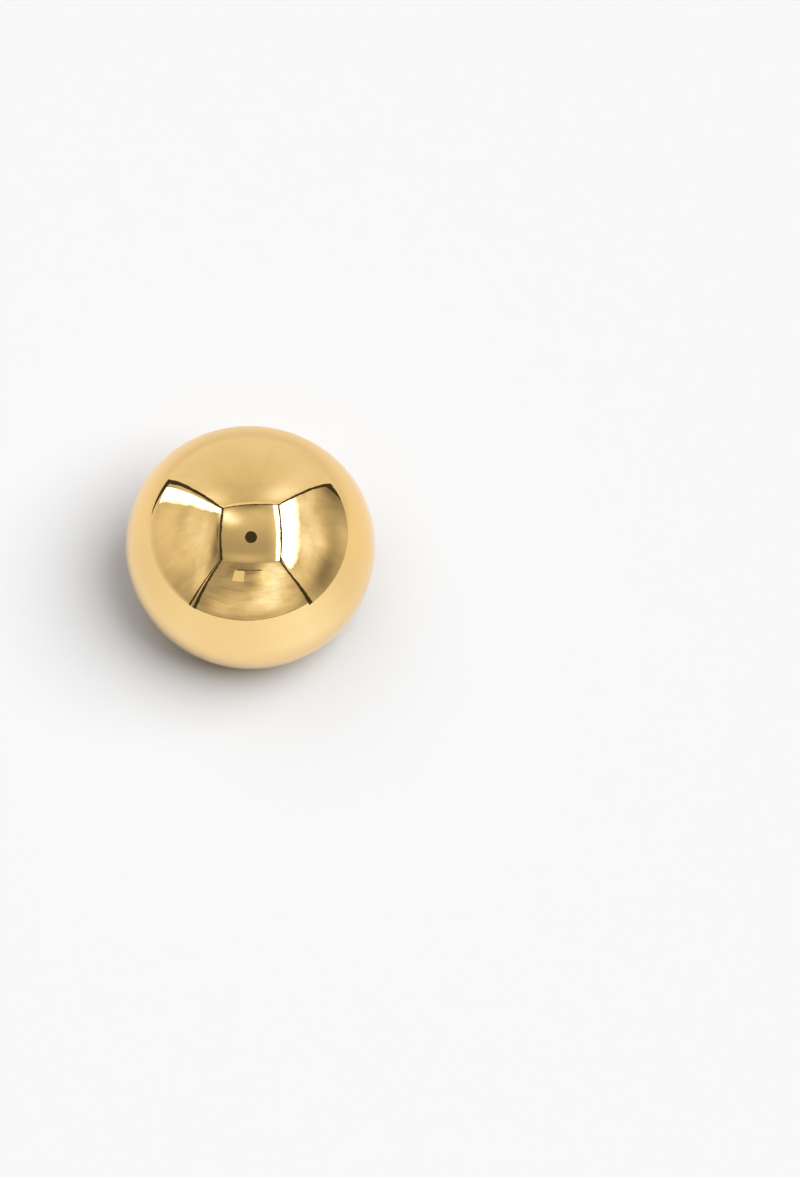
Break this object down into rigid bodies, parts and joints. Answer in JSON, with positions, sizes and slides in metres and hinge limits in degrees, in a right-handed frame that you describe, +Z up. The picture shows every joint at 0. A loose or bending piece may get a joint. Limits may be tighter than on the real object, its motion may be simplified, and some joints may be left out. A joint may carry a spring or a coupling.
{
  "type": "domed ear stud",
  "caption": "Large hollow domed ear stud in mirror-polished yellow gold plate, with a flat back plate and an off-centre ear post, lying on its rim and post.",
  "frame": {"origin": "on the surface that the stud lies on, under the middle of its box", "axes": "+X across the dome, -Y towards the side of the rim that the dome leans on, +Z up from the surface"},
  "size_m": [0.0266, 0.0246, 0.0187],
  "materials": {
    "polished_gold": "mirror-polished yellow gold plate on pressed brass",
    "satin_gold": "lightly brushed yellow gold plate on a flat brass disc",
    "post_gold": "plain bright yellow gold plate on a drawn pin"
  },
  "bodies": {
    "root": {"dome_shell": "polished_gold", "back_plate": "satin_gold", "ear_post": "post_gold"}
  },
  "joints": []
}
